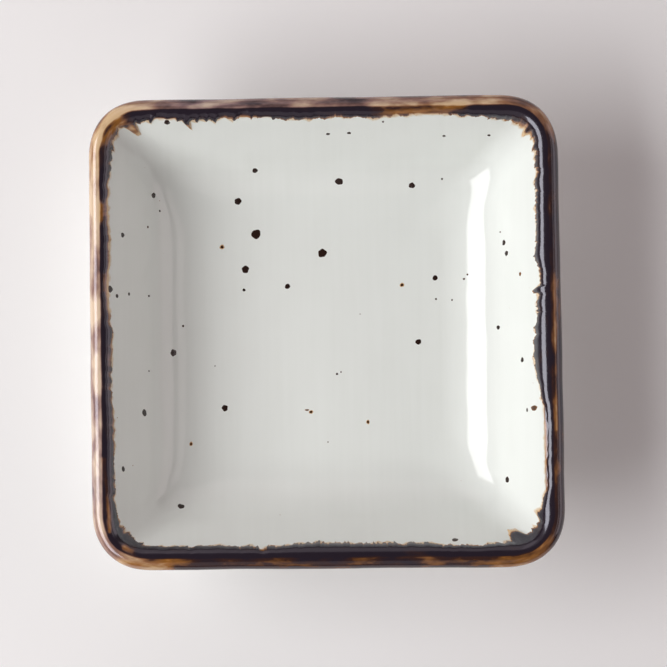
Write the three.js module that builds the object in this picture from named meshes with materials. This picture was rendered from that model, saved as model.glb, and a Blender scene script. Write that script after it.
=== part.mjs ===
// Square stoneware dish with a rolled lip, a white speckled glaze and an iron-brown rim.
// Millimetres, +Z up. The origin is the middle of the foot, on the surface that the dish stands on.
// A slab of clay is pressed into a square mould and a strip of clay is luted under it as a foot.
// The glazes are coats of their own: white inside, white outside, white under the base, brown on the lip.

import * as THREE from "three";

const { lerp, inverseLerp } = THREE.MathUtils;

// Whole dish, over the glaze
const DISH_WIDTH = 100;
const DISH_HEIGHT = 26.5;

// Moulded clay slab, without its glaze
const SLAB_THICKNESS = 3.4;
const WELL_FLOOR_WIDTH = 49; // flat part of the floor, from side to side
const WELL_FILLET = 17.4; // wide bend from the floor to the wall, inside
const LIP_INNER_RADIUS = 2.5;
const LIP_OUTER_RADIUS = 1.1;

// Foot ring
const FOOT_WIDTH = 56; // over its outer sides
const FOOT_HEIGHT = 3.2; // from the table to the clay under the floor
const FOOT_THICKNESS = 3.8;
const FOOT_EDGE_RADIUS = 0.8;

// Corners in plan: how far each one reaches along its side, and how full its curve is
const RIM_CORNER = 12;
const WELL_CORNER = 7;
const FOOT_CORNER = 9;
const CORNER_FULLNESS = 2.35; // 2 is a true arc, and more is squarer

// Coats of glaze
const WHITE_GLAZE = 0.5;
const RIM_GLAZE = 0.35;
const RIM_GLAZE_EDGE = 0.14; // where the brown coat runs out
const RIM_GLAZE_FULLNESS = 4; // 2 thins it evenly from the middle, and more keeps it full nearly to its edges
const COAT_GAP = 0.1; // between a coat and what it lies on or meets

// How far the brown coat runs, measured along the white glaze
const RIM_RUN_INSIDE = 3.7; // from the top of the lip into the well
const RIM_RUN_OUTSIDE = 3.4; // down the outer wall, from the end of the rolled lip
// Waves of its running edges: how many go round the dish, how deep they are and where they start
const EDGE_WAVES = [
  { count: 3, depth: 0.25, start: 0.6 },
  { count: 8, depth: 0.3, start: 2.1 },
  { count: 17, depth: 0.3, start: 4.4 },
];
const OUTSIDE_WAVE_TURN = 1.3; // shifts the waves of the outer edge against those of the inner one
const OUTSIDE_WAVE_SCALE = 2; // glaze runs further down the outside than into the well

// Iron spots on the white glaze inside: place across and up the opening, from -1 to 1, and width in mm
const IRON_SPOTS = [
  { across: -0.31, up: 0.77, width: 1.5 },
  { across: -0.39, up: 0.64, width: 1.8 },
  { across: -0.31, up: 0.49, width: 2.3 },
  { across: -0.01, up: 0.4, width: 2.1 },
  { across: -0.36, up: 0.33, width: 1.8 },
  { across: -0.17, up: 0.25, width: 1.3 },
  { across: 0.07, up: 0.72, width: 2 },
  { across: 0.4, up: 0.7, width: 1.6 },
  { across: -0.77, up: 0.66, width: 1.4 },
  { across: -0.69, up: -0.05, width: 1.7 },
  { across: -0.82, up: -0.33, width: 1.8 },
  { across: -0.66, up: -0.75, width: 1.7 },
  { across: -0.46, up: -0.3, width: 1.5 },
  { across: 0.42, up: -0.01, width: 1.4 },
  { across: 0.5, up: 0.28, width: 1.3 },
  { across: 0.81, up: 0.42, width: 1.4 },
  { across: 0.82, up: 0.37, width: 1.4 },
  { across: 0.81, up: -0.65, width: 1.5 },
  { across: 0.78, up: 0.04, width: 1.2 },
  { across: 0.88, up: -0.12, width: 1.3 },
];
const SPOT_HEIGHT = 0.25;
const SPOT_SHOULDER = 0.7; // width of a spot at SPOT_SHOULDER_HEIGHT, against its full width
const SPOT_SHOULDER_HEIGHT = 0.75; // against its full height

// Facets
const CORNER_STEPS = 7;
const RIM_SIDE_STEPS = 20;
const RIM_ROWS = { inside: 5, lip: 6, outside: 2 };
const BEND_STEPS = 8;
const LIP_INNER_STEPS = 5;
const LIP_OUTER_STEPS = 8;
const FOOT_TOP_STEPS = 4;
const FOOT_EDGE_STEPS = 2;
const SPOT_SIDES = 10;
const SEAT_HALVINGS = 40; // steps of the search for the glaze under a spot
const SEAT_REACH = 0.2; // half the stretch of glaze that gives a spot its tilt

// Directions that a face looks in, in a section through the dish
const UP = Math.PI / 2;
const OUT = 0;
const DOWN = -Math.PI / 2;
const QUARTER_TURN = Math.PI / 2;
const DISH_AXIS = new THREE.Vector3(0, 0, 1);

const MATERIALS = {
  clay: new THREE.MeshStandardMaterial({ color: 0xb39b80, roughness: 0.9, metalness: 0 }),
  white: new THREE.MeshStandardMaterial({ color: 0xe9e7e1, roughness: 0.12, metalness: 0 }),
  brown: new THREE.MeshStandardMaterial({ color: 0x3b2a22, roughness: 0.2, metalness: 0 }),
  iron: new THREE.MeshStandardMaterial({ color: 0x2e1f18, roughness: 0.3, metalness: 0 }),
};

// Levels and half-widths that follow from the sizes above
const whiteFace = COAT_GAP + WHITE_GLAZE; // height of the white face above the clay
const rimSeat = whiteFace + COAT_GAP;
const rimFace = rimSeat + RIM_GLAZE;
const clayHalf = DISH_WIDTH / 2 - rimFace;
const clayTop = DISH_HEIGHT - rimFace;
const wellFloor = FOOT_HEIGHT + SLAB_THICKNESS;
const ridgeHalf = clayHalf - LIP_OUTER_RADIUS; // half-width at the top of the lip
const footHalf = FOOT_WIDTH / 2;

const lipInnerCentre = new THREE.Vector2(ridgeHalf, clayTop - LIP_INNER_RADIUS);
const lipOuterCentre = new THREE.Vector2(ridgeHalf, clayTop - LIP_OUTER_RADIUS);

// The bend is limited by its wall: below the lip a straight stretch as long as the slab is thick is left
const wallRun = ridgeHalf - WELL_FLOOR_WIDTH / 2;
const wallRise = clayTop - LIP_INNER_RADIUS - wellFloor;
const wallReach = wallRun ** 2 + wallRise ** 2 - LIP_INNER_RADIUS ** 2 - SLAB_THICKNESS ** 2;
const wellFillet = Math.min(WELL_FILLET, wallReach / (2 * (wallRise + LIP_INNER_RADIUS)));
const bendCentre = new THREE.Vector2(WELL_FLOOR_WIDTH / 2, wellFloor + wellFillet);
const bendOuterRadius = wellFillet + SLAB_THICKNESS;

// The inner wall touches the lip's inner round and the well's fillet from opposite sides.
// The outer wall touches the lip's outer round and the outside of the bend from the same side.
const fall = bendCentre.clone().sub(lipInnerCentre);
const innerWall = fall.angle() - Math.acos((LIP_INNER_RADIUS + wellFillet) / fall.length());
const rise = lipOuterCentre.clone().sub(bendCentre);
const riseAngle = Math.atan2(rise.y, rise.x);
const outerWall = riseAngle - Math.acos((bendOuterRadius - LIP_OUTER_RADIUS) / rise.length());
const wallTopHalf = ridgeHalf + LIP_INNER_RADIUS * Math.cos(innerWall);

// How far the plan corner reaches at a half-width, on the inside and lip, and on the outside
function innerCorner(w) {
  if (w < wallTopHalf) return WELL_CORNER;
  return lerp(WELL_CORNER, RIM_CORNER, inverseLerp(wallTopHalf, clayHalf, w));
}

function outerCorner(w) {
  if (w < footHalf) return FOOT_CORNER - (footHalf - w);
  return lerp(FOOT_CORNER, RIM_CORNER, inverseLerp(footHalf, clayHalf, w));
}

// One point of the section: half-width, height, the way its face looks and its plan corner
function station(w, z, facing) {
  const inside = facing >= OUT;
  const corner = inside ? innerCorner(w) : outerCorner(w);
  return { w, z, facing, corner };
}

// Stations round an arc while its face turns. A negative radius makes a hollow arc.
function bend(centre, radius, fromFacing, toFacing, steps) {
  const stations = [];
  for (let i = 0; i <= steps; i += 1) {
    const facing = lerp(fromFacing, toFacing, i / steps);
    stations.push(
      station(centre.x + radius * Math.cos(facing), centre.y + radius * Math.sin(facing), facing),
    );
  }
  return stations;
}

// The station moved off the clay along its own face direction
function lift(place, height) {
  const outward = height * Math.cos(place.facing);
  return {
    ...place,
    w: place.w === 0 ? 0 : place.w + outward,
    z: place.z + height * Math.sin(place.facing),
    corner: place.corner + outward,
  };
}

function gapBetween(a, b) {
  return Math.hypot(a.w - b.w, a.z - b.z);
}

// Section of the clay, from the middle of the well over the lip to the middle of the underside
const lipInside = bend(lipInnerCentre, LIP_INNER_RADIUS, innerWall, UP, LIP_INNER_STEPS);
const lipOutside = bend(lipOuterCentre, LIP_OUTER_RADIUS, UP, outerWall, LIP_OUTER_STEPS);
const ridge = lipInside.at(-1);
const section = [
  station(0, wellFloor, UP),
  ...bend(bendCentre, -wellFillet, UP, innerWall, BEND_STEPS),
  ...lipInside,
  ...lipOutside.slice(1),
  ...bend(bendCentre, bendOuterRadius, outerWall, DOWN, BEND_STEPS),
  station(0, FOOT_HEIGHT, DOWN),
];

// Way along the white face to each station, counted from the top of the lip, less than zero inside
let way = 0;
section.forEach((place, i) => {
  if (i > 0) way += gapBetween(lift(place, whiteFace), lift(section[i - 1], whiteFace));
  place.way = way;
});
const wayToRidge = ridge.way;
section.forEach((place) => {
  place.way -= wayToRidge;
});
const wellMiddle = section[0].way;
const baseMiddle = section.at(-1).way;

function between(a, b, share) {
  return {
    w: lerp(a.w, b.w, share),
    z: lerp(a.z, b.z, share),
    facing: lerp(a.facing, b.facing, share),
    corner: lerp(a.corner, b.corner, share),
    way: lerp(a.way, b.way, share),
  };
}

// The section at a way along it
function sectionAt(wanted) {
  const next = section.findIndex((place, i) => i > 0 && place.way >= wanted);
  const last = next < 0 ? section.length - 1 : next;
  const a = section[last - 1];
  const b = section[last];
  return between(a, b, inverseLerp(a.way, b.way, wanted));
}

// The stretch of section between two ways
function stretch(from, to) {
  const inner = section.filter((place) => place.way > from && place.way < to);
  return [sectionAt(from), ...inner, sectionAt(to)];
}

// The underside of the clay at a half-width
function undersideAt(w) {
  const last = section.findLastIndex((place) => place.w >= w);
  const a = section[last];
  const b = section[last + 1];
  return between(a, b, inverseLerp(a.w, b.w, w));
}

// Places round a ring: four corners, with steps along the sides between them
function ringSlots(sideSteps) {
  const slots = [];
  const power = 2 / CORNER_FULLNESS;
  for (let quarter = 0; quarter < 4; quarter += 1) {
    for (let i = 0; i <= CORNER_STEPS; i += 1) {
      const turn = (QUARTER_TURN * i) / CORNER_STEPS;
      const x = Math.abs(Math.cos(turn)) ** power;
      const y = Math.abs(Math.sin(turn)) ** power;
      slots.push({ quarter, along: 1, x, y });
    }
    for (let i = 1; i < sideSteps; i += 1) {
      slots.push({ quarter, along: 1 - (2 * i) / sideSteps, x: 0, y: 1 });
    }
  }
  return slots;
}

function ringPoint(slot, { w, z, corner }) {
  const span = Math.min(corner, w);
  const straight = w - span; // from the middle of a side to the start of its corner
  const point = new THREE.Vector3(straight * slot.along + span * slot.x, straight + span * slot.y, z);
  return point.applyAxisAngle(DISH_AXIS, slot.quarter * QUARTER_TURN);
}

const PLAIN_RING = ringSlots(1);
const RIM_RING = ringSlots(RIM_SIDE_STEPS);

// A row of points round the dish at one station, or its middle point alone
function ring(place, slots = PLAIN_RING) {
  if (place.w === 0) return [new THREE.Vector3(0, 0, place.z)];
  return slots.map((slot) => ringPoint(slot, place));
}

// A closed body from rows of points. The rows start and end in a middle point, or go round in a loop.
function bodyFromRows(rows) {
  const starts = [];
  const points = [];
  rows.forEach((row) => {
    starts.push(points.length);
    points.push(...row);
  });
  const looped = rows[0].length > 1;
  const index = [];
  for (let i = 0; i < rows.length - (looped ? 0 : 1); i += 1) {
    const j = (i + 1) % rows.length;
    const count = Math.max(rows[i].length, rows[j].length);
    for (let k = 0; k < count; k += 1) {
      const next = (k + 1) % count;
      if (rows[i].length === 1) {
        index.push(starts[i], starts[j] + k, starts[j] + next);
      } else if (rows[j].length === 1) {
        index.push(starts[i] + k, starts[j], starts[i] + next);
      } else {
        index.push(starts[i] + k, starts[j] + k, starts[j] + next);
        index.push(starts[i] + k, starts[j] + next, starts[i] + next);
      }
    }
  }
  const geometry = new THREE.BufferGeometry().setFromPoints(points);
  geometry.setIndex(index);
  geometry.computeVertexNormals();
  return geometry;
}

// A coat between two heights above the clay, along a stretch of the section
function coat(stations, seat, face) {
  const over = stations.map((place) => ring(lift(place, face)));
  const under = stations.map((place) => ring(lift(place, seat))).reverse();
  const endsInMiddle = stations.at(-1).w === 0;
  return bodyFromRows(endsInMiddle ? [...under, ...over] : [...over, ...under]);
}

function clayBody() {
  return bodyFromRows(section.map((place) => ring(place)));
}

// The foot's top follows the curve of the underside, and its lower edges are rounded
function footRing() {
  const innerHalf = footHalf - FOOT_THICKNESS;
  const rows = [];
  for (let i = 0; i <= FOOT_TOP_STEPS; i += 1) {
    const w = lerp(innerHalf, footHalf, i / FOOT_TOP_STEPS);
    rows.push(ring({ w, z: undersideAt(w).z - COAT_GAP, corner: outerCorner(w) }));
  }
  const outerEdge = new THREE.Vector2(footHalf - FOOT_EDGE_RADIUS, FOOT_EDGE_RADIUS);
  const innerEdge = new THREE.Vector2(innerHalf + FOOT_EDGE_RADIUS, FOOT_EDGE_RADIUS);
  const edges = [
    ...bend(outerEdge, FOOT_EDGE_RADIUS, OUT, DOWN, FOOT_EDGE_STEPS),
    ...bend(innerEdge, FOOT_EDGE_RADIUS, DOWN, -Math.PI, FOOT_EDGE_STEPS),
  ];
  edges.forEach(({ w, z }) => rows.push(ring({ w, z, corner: outerCorner(w) })));
  return bodyFromRows(rows);
}

function insideGlaze() {
  return coat(stretch(wellMiddle, -COAT_GAP / 2), COAT_GAP, whiteFace);
}

function outsideGlaze() {
  const footEdge = undersideAt(footHalf + COAT_GAP).way;
  return coat(stretch(COAT_GAP / 2, footEdge), COAT_GAP, whiteFace);
}

function baseGlaze() {
  const footEdge = undersideAt(footHalf - FOOT_THICKNESS - COAT_GAP).way;
  return coat(stretch(footEdge, baseMiddle), COAT_GAP, whiteFace);
}

// How far the edge of the brown coat strays at a turn round the dish
function edgeStray(turn) {
  return EDGE_WAVES.reduce((sum, wave) => sum + wave.depth * Math.sin(wave.count * turn + wave.start), 0);
}

// The brown coat is full over the lip and thins out to both of its running edges
function rimGlaze() {
  const turns = RIM_RING.map((slot) => {
    const point = ringPoint(slot, ridge);
    return Math.atan2(point.y, point.x);
  });
  const lipEnd = lipOutside.at(-1).way;
  const insideEdges = turns.map((turn) => -RIM_RUN_INSIDE - edgeStray(turn));
  const outsideEdges = turns.map((turn) => {
    const stray = OUTSIDE_WAVE_SCALE * edgeStray(turn + OUTSIDE_WAVE_TURN);
    return lipEnd + RIM_RUN_OUTSIDE + stray;
  });
  const rows = [];
  for (let i = 0; i < RIM_ROWS.inside; i += 1) {
    rows.push(insideEdges.map((edge) => lerp(edge, 0, i / RIM_ROWS.inside)));
  }
  for (let i = 0; i < RIM_ROWS.lip; i += 1) {
    rows.push(turns.map(() => lerp(0, lipEnd, i / RIM_ROWS.lip)));
  }
  for (let i = 0; i <= RIM_ROWS.outside; i += 1) {
    rows.push(outsideEdges.map((edge) => lerp(lipEnd, edge, i / RIM_ROWS.outside)));
  }
  const atHeight = (ways, height) =>
    ways.map((wanted, k) => ringPoint(RIM_RING[k], lift(sectionAt(wanted), height)));
  const over = rows.map((ways, i) => {
    const offMiddle = Math.abs((2 * i) / (rows.length - 1) - 1);
    const fullness = 1 - offMiddle ** RIM_GLAZE_FULLNESS;
    return atHeight(ways, rimSeat + lerp(RIM_GLAZE_EDGE, RIM_GLAZE, fullness));
  });
  const under = rows.map((ways) => atHeight(ways, rimSeat)).reverse();
  return bodyFromRows([...over, ...under]);
}

// True if a place in plan lies within the ring of a station
function ringHolds({ w, corner }, x, y) {
  const span = Math.min(corner, w);
  const dx = Math.max(Math.abs(x) - (w - span), 0) / span;
  const dy = Math.max(Math.abs(y) - (w - span), 0) / span;
  return dx ** CORNER_FULLNESS + dy ** CORNER_FULLNESS <= 1;
}

// Height of the white face inside, at a place in plan
function glazeHeight(x, y) {
  const floorEdge = section[1].way;
  if (ringHolds(lift(section[1], whiteFace), x, y)) return wellFloor + whiteFace;
  let low = floorEdge;
  let high = 0;
  for (let i = 0; i < SEAT_HALVINGS; i += 1) {
    const middle = (low + high) / 2;
    if (ringHolds(lift(sectionAt(middle), whiteFace), x, y)) high = middle;
    else low = middle;
  }
  return lift(sectionAt(high), whiteFace).z;
}

// A low drop, flat underneath, turned so that its foot lies along the glaze
function ironSpot({ across, up, width }) {
  const radius = width / 2;
  const profile = [
    new THREE.Vector2(0, 0),
    new THREE.Vector2(radius, 0),
    new THREE.Vector2(radius * SPOT_SHOULDER, SPOT_HEIGHT * SPOT_SHOULDER_HEIGHT),
    new THREE.Vector2(0, SPOT_HEIGHT),
  ];
  const spot = new THREE.Mesh(new THREE.LatheGeometry(profile, SPOT_SIDES), MATERIALS.iron);
  const x = across * ridgeHalf;
  const y = up * ridgeHalf;
  const slopeX = glazeHeight(x + SEAT_REACH, y) - glazeHeight(x - SEAT_REACH, y);
  const slopeY = glazeHeight(x, y + SEAT_REACH) - glazeHeight(x, y - SEAT_REACH);
  const facing = new THREE.Vector3(-slopeX, -slopeY, 2 * SEAT_REACH).normalize();
  spot.position.set(x, y, glazeHeight(x, y)).addScaledVector(facing, COAT_GAP);
  spot.quaternion.setFromUnitVectors(spot.up, facing);
  return spot;
}

const dish = new THREE.Group();
dish.name = "square_dish";

function addPiece(name, geometry, material) {
  const piece = new THREE.Mesh(geometry, material);
  piece.name = name;
  dish.add(piece);
}

addPiece("clay_body", clayBody(), MATERIALS.clay);
addPiece("foot_ring", footRing(), MATERIALS.clay);
addPiece("inside_glaze", insideGlaze(), MATERIALS.white);
addPiece("outside_glaze", outsideGlaze(), MATERIALS.white);
addPiece("base_glaze", baseGlaze(), MATERIALS.white);
addPiece("rim_glaze", rimGlaze(), MATERIALS.brown);

IRON_SPOTS.forEach((place, i) => {
  const spot = ironSpot(place);
  spot.name = `iron_spot_${String(i + 1).padStart(2, "0")}`;
  dish.add(spot);
});

export default dish;
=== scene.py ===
# Small square stoneware dish: bare clay foot, speckled white glaze and a running iron-brown rim.
# Metres, +Z up. The pieces follow the same section and plan as the solids of the frame.

import math

import bpy
import numpy as np
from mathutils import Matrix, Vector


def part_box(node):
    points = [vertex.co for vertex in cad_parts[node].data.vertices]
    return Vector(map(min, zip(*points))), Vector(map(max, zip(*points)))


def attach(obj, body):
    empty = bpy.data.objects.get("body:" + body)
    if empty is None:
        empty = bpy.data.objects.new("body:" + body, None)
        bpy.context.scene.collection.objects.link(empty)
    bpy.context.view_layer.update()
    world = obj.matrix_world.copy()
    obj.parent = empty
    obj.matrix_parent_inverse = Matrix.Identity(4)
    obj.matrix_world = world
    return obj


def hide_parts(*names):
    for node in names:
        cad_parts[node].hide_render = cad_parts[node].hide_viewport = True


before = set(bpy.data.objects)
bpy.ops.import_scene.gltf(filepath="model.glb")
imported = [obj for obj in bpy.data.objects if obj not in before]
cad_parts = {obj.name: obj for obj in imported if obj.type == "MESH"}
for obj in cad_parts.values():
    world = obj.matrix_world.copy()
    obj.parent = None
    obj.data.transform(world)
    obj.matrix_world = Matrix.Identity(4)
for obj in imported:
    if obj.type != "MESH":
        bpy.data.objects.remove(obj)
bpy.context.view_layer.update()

bl_info = {
    "name": "Square stoneware dish",
    "version": (1, 0, 0),
    "blender": (4, 5, 0),
    "location": "View3D > Sidebar > Dish",
    "description": "Builds a small square dish with a speckled white glaze and an iron-brown rim",
    "category": "Object",
}

MM = 0.001
UP = math.pi / 2
OUT = 0.0
DOWN = -math.pi / 2
FULL_TURN = 2 * math.pi

# Plan corners: 2 is a true arc, and more is squarer
CORNER_FULLNESS = 2.35

# The dish was pressed by hand, so its corners stray: each corner's side in X and Y, and its pull in mm
CORNER_PULLS = (
    (-1, 1, -0.25, 0.6),
    (1, 1, 0.2, 0.9),
    (-1, -1, 0, 0.1),
    (1, -1, 0.45, -0.4),
)

# Slow waves left in the glaze by the hand: length in mm, direction in degrees, start and depth in mm
GLAZE_WAVES = (
    (31, 20, 0.4, 0.05),
    (19, 95, 1.9, 0.03),
    (13, 150, 3.1, 0.016),
    (9, 65, 5.2, 0.008),
    (6.5, 10, 0.9, 0.004),
)

# Waves of the brown coat's edges: how many go round the dish, how deep they are in mm, where they start
EDGE_WAVES = ((3, 0.25, 0.6), (8, 0.3, 2.1), (17, 0.3, 4.4))
OUTSIDE_WAVE_TURN = 1.3
OUTSIDE_WAVE_SCALE = 2

# How the brown coat behaves round the lip, at places read off the photograph in pixels:
# depth of its teeth and of its fine fringe, how much further it runs and how wide its edge thins, all in mm,
# then how thin it lies on the outer shoulder and how warm its brown is there, both from 0 to 1.
# The thinness is partly the coat's own and partly painted light: it is raised for a paler, lit-looking
# shoulder on the left and along the top, and set at nought on the right for a darker shoulder of painted
# shade
RIM_NOTES = (
    (550, 345, 0.7, 0.14, 1.2, 0.75, 0, 0.9),
    (550, 300, 0.7, 0.28, -0.6, 0.75, 0, 0.9),
    (550, 277, 0.7, 0.15, -1.8, 0.75, 0, 0.9),
    (549, 255, 0.7, 0.28, 0.5, 0.75, 0, 0.9),
    (545, 170, 0.7, 0.18, -1.2, 0.75, 0.1, 0.8),
    (530, 118, 1, 0.14, 0.9, 1.8, 0.6, 0.7),
    (480, 108, 0.9, 0.1, -0.7, 0.5, 0.65, 0.7),
    (430, 106, 0.7, 0.06, -1.2, 0.3, 0.3, 0.5),
    (380, 104, 0.6, 0.06, -0.9, 0.4, 0.35, 0.4),
    (330, 104, 0.9, 0.1, -1.1, 0.75, 0.55, 0.35),
    (260, 105, 0.9, 0.1, -1, 0.75, 0.5, 0.3),
    (200, 107, 0.5, 0.05, -1.4, 0.75, 0.5, 0.1),
    (180, 108, 0.45, 0.04, -1.2, 0.35, 0.45, 0.2),
    (163, 109, 0.4, 0.04, -2.3, 0.35, 0.6, 0.4),
    (145, 111, 0.5, 0.05, -0.6, 0.6, 0.75, 0.5),
    (116, 118, 0.6, 0.08, -1.1, 0.5, 0.55, 0.9),
    (103, 150, 0.5, 0.05, -0.4, 0.6, 0.8, 0.8),
    (101, 190, 0.35, 0.04, -1.2, 1.1, 0.95, 0.5),
    (98, 260, 0.3, 0.04, -1.3, 1.1, 0.85, 0.35),
    (98, 290, 0.3, 0.04, -2.1, 1, 0.85, 0.35),
    (97, 333, 0.3, 0.04, -1.1, 1.1, 0.8, 0.3),
    (98, 420, 0.4, 0.06, -0.2, 1.2, 0.8, 0.2),
    (103, 500, 0.5, 0.06, -0.3, 0.8, 0.75, 0.1),
    (118, 545, 0.9, 0.12, 1.3, 1.2, 0.6, 0.5),
    (165, 562, 0.7, 0.12, -0.1, 0.4, 0.4, 1),
    (220, 562, 0.8, 0.14, -0.2, 0.75, 0.04, 0.9),
    (280, 562, 0.8, 0.3, -0.7, 0.75, 0.08, 1),
    (350, 562, 0.8, 0.4, 0.5, 0.75, 0.18, 1),
    (420, 561, 0.9, 0.32, 0.5, 0.75, 0.1, 0.9),
    (480, 560, 1, 0.14, -0.8, 0.75, 0.4, 1),
    (500, 559, 1, 0.1, -0.2, 0.75, 0.45, 1),
    (520, 557, 1.3, 0.1, 1.3, 0.75, 0.4, 1),
    (545, 540, 1.3, 0.1, 1.4, 0.75, 0.3, 0.9),
    (555, 505, 0.9, 0.1, 0.3, 0.75, 0.05, 0.9),
    (556, 480, 0.6, 0.06, -2, 0.75, 0.1, 0.9),
    (555, 420, 0.6, 0.06, -1.9, 0.75, 0, 0.9),
    (552, 385, 0.8, 0.1, -0.4, 0.75, 0, 0.9),
)

# How steeply a run's sides fall, where 2 is a pointed drip and more is a blunt one
RUN_FALL = 3

# Single runs of the brown coat into the well: place in pixels of the photograph, width and depth in mm
RIM_RUNS = (
    (133, 130, 3, 3.6),
    (155, 121, 0.7, 1.1),
    (190, 122, 1, 2.6),
    (200, 121, 0.6, 0.9),
    (209, 120, 0.6, 0.8),
    (218, 120, 0.6, 0.9),
    (236, 119, 0.7, 0.7),
    (523, 539, 4.2, 3),
    (537, 510, 3.5, 1.6),
    (535, 290, 1.2, 2),
    (522, 133, 1.6, 1),
    (534, 148, 1.5, 0.8),
)

# Amber streaks where the brown coat is thin, in pixels of the photograph: from, to and reach, and how thin
AMBER_STREAKS = (
    (104, 140, 118, 119, 9, 0.78),
    (132, 125, 141, 134, 6, 0.8),
    (187, 124, 193, 131, 3.5, 0.8),
    (109, 180, 108, 330, 2, 0.4),
    (101, 205, 101, 220, 4, 0.42),
    (103, 275, 103, 290, 3, 0.4),
    (104, 459, 109, 532, 2.6, 0.62),
    (124, 548, 132, 551, 4.2, 0.66),
    (374, 111, 464, 107, 7, 0.36),
    (386, 110, 460, 107, 6, 0.26),
    (553, 225, 556, 430, 0.9, 0.3),
    (523, 128, 533, 143, 4, 0.5),
    (509, 531, 524, 524, 5, 0.8),
    (531, 516, 539, 508, 4, 0.7),
    (120, 560, 170, 567, 4, 0.3),
)

# Small grains on the white glaze, in pixels of the photograph: place, width and length, then how many times
# as wide the stain round the grain is, and its tone, from 0 for dark iron to 1 for white
GRAINS = (
    (244, 290, 3.9, 3.9, 1, 0),
    (442, 179, 2.8, 2.6, 1, 0.12),
    (328, 134, 5, 2.6, 1, 0.05),
    (349, 133, 5, 2.6, 1, 0.05),
    (383, 122, 2.8, 2.3, 1, 0.2),
    (444, 136, 4.3, 2.3, 1, 0.15),
    (489, 135, 4.3, 2.4, 1, 0.15),
    (167, 122, 6.5, 5, 1, 0),
    (160, 211, 2.2, 3.4, 1, 0.1),
    (148, 227, 2.2, 3.2, 1, 0.25),
    (123, 235, 3.6, 6, 1, 0),
    (222, 247, 2.2, 2.2, 3, 0.05),
    (110, 289, 5.5, 8, 1, 0),
    (117, 296, 3, 5, 1, 0.05),
    (129, 294, 2.4, 4.4, 1, 0.1),
    (149, 296, 2.2, 3, 1, 0.15),
    (183, 326, 2.9, 3, 1, 0.2),
    (149, 371, 1.8, 2.2, 1, 0.15),
    (123, 469, 3.3, 6.6, 1, 0),
    (191, 444, 1.7, 2.2, 3, 0.2),
    (215, 366, 1.5, 1.5, 1, 0.2),
    (311, 412, 2.1, 1.7, 3, 0.05),
    (307, 410, 3.6, 1.5, 1.6, 0.25),
    (368, 422, 1.5, 2, 3.2, 0.05),
    (328, 442, 1.7, 1.7, 1, 0.25),
    (337, 374, 2.9, 2.9, 1, 0.1),
    (341, 372, 2, 2, 1, 0.2),
    (402, 285, 2, 2, 3, 0),
    (436, 299, 2.6, 2.6, 1, 0.15),
    (452, 300, 2.4, 2.4, 1, 0.2),
    (464, 279, 2.9, 2.9, 1, 0.2),
    (467.5, 274.5, 2.6, 2.6, 1, 0.2),
    (520, 274, 2.6, 5, 1, 0.33),
    (500, 232, 1.7, 2, 1, 0.25),
    (534, 408, 6.4, 6.4, 1, 0.27),
    (527, 410, 2, 5, 1, 0.1),
    (455, 540, 7, 3.5, 1, 0.1),
    (360, 314, 1.3, 1.3, 1, 0.25),
)


def linear(hex_colour):
    """An sRGB hex colour as linear red, green and blue with a full alpha."""
    shares = [int(hex_colour[i : i + 2], 16) / 255 for i in (1, 3, 5)]
    return (*(s / 12.92 if s <= 0.04045 else ((s + 0.055) / 1.055) ** 2.4 for s in shares), 1.0)


def length(name, description, default_mm):
    """A size that a user can change, kept in metres."""
    return bpy.props.FloatProperty(
        name=name, description=description, default=default_mm * MM, min=0, precision=5, unit="LENGTH"
    )


def colour(name, description, hex_colour):
    """A colour that a user can change."""
    return bpy.props.FloatVectorProperty(
        name=name, description=description, default=linear(hex_colour), size=4, min=0, max=1, subtype="COLOR"
    )


class DishSizes(bpy.types.PropertyGroup):
    """Sizes of the dish"""

    width: length("Width", "Across the dish, over the glaze", 100)
    height: length("Height", "From the table to the top of the lip", 26.5)
    slab: length("Slab", "Thickness of the clay", 3.4)
    floor_width: length("Floor width", "Flat part of the well's floor", 49)
    fillet: length("Floor bend", "Bend from the floor to the wall", 17.4)
    lip_inner: length("Lip, inside", "Round of the lip towards the well", 2.5)
    lip_outer: length("Lip, outside", "Round of the lip towards the outside", 1.1)
    foot_width: length("Foot width", "Over the outer sides of the foot ring", 56)
    foot_height: length("Foot height", "From the table to the clay under the floor", 3.2)
    foot_thickness: length("Foot thickness", "Across the strip of the foot ring", 3.8)
    foot_edge: length("Foot edge", "Round of the foot's lower edges", 0.8)
    rim_corner: length("Rim corner", "How far a plan corner reaches at the rim", 12)
    well_corner: length("Well corner", "How far a plan corner reaches in the well", 7)
    foot_corner: length("Foot corner", "How far a plan corner reaches at the foot", 9)
    white_coat: length("White coat", "Thickness of the white glaze", 0.5)
    rim_coat: length("Brown coat", "Thickness of the brown glaze on the lip", 0.35)
    coat_gap: length("Coat gap", "Between a coat and the clay in the solids", 0.1)
    run_inside: length("Run inside", "How far the brown coat runs into the well", 3.7)
    run_outside: length("Run outside", "How far the brown coat runs below the rolled lip", 3.4)


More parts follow.
